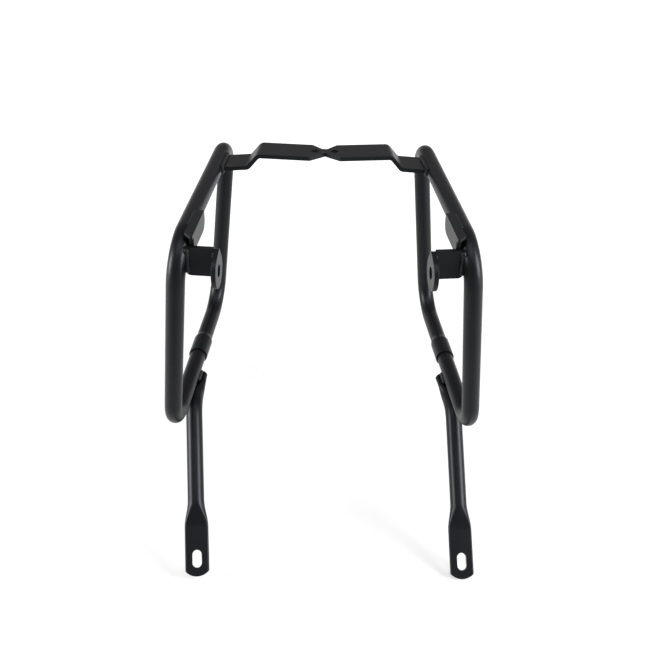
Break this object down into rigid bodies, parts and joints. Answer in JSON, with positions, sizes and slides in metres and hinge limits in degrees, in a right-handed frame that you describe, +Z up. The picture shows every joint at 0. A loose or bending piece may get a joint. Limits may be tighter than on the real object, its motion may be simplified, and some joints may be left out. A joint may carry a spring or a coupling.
{
  "type": "pannier frame",
  "caption": "Pair of bent steel tube frames that carry side bags on a motorbike, with tail arms, shock brackets and struts with slotted feet.",
  "frame": {"origin": "midway between the two tail bolt holes, on the top face of the arms", "axes": "+X to the rider's left, +Y to the back of the bike, +Z up along the tail bolts"},
  "size_m": [0.2951, 0.2946, 0.3534],
  "materials": {
    "tube_coat": "satin black powder coat on steel tube",
    "plate_coat": "satin black powder coat on flat steel bar",
    "weld_coat": "satin black powder coat over a rippled weld bead"
  },
  "bodies": {
    "root": {"left_hoop_tube": "tube_coat", "left_tail_arm": "plate_coat", "left_shock_bracket": "plate_coat", "left_shock_ear": "plate_coat", "left_rail_tab": "plate_coat", "left_strut": "tube_coat", "left_arm_weld": "weld_coat", "left_bracket_weld": "weld_coat", "left_ear_weld": "weld_coat", "left_tab_weld": "weld_coat", "left_strut_weld": "weld_coat", "right_hoop_tube": "tube_coat", "right_tail_arm": "plate_coat", "right_shock_bracket": "plate_coat", "right_shock_ear": "plate_coat", "right_rail_tab": "plate_coat", "right_strut": "tube_coat", "right_arm_weld": "weld_coat", "right_bracket_weld": "weld_coat", "right_ear_weld": "weld_coat", "right_tab_weld": "weld_coat", "right_strut_weld": "weld_coat"}
  },
  "joints": []
}
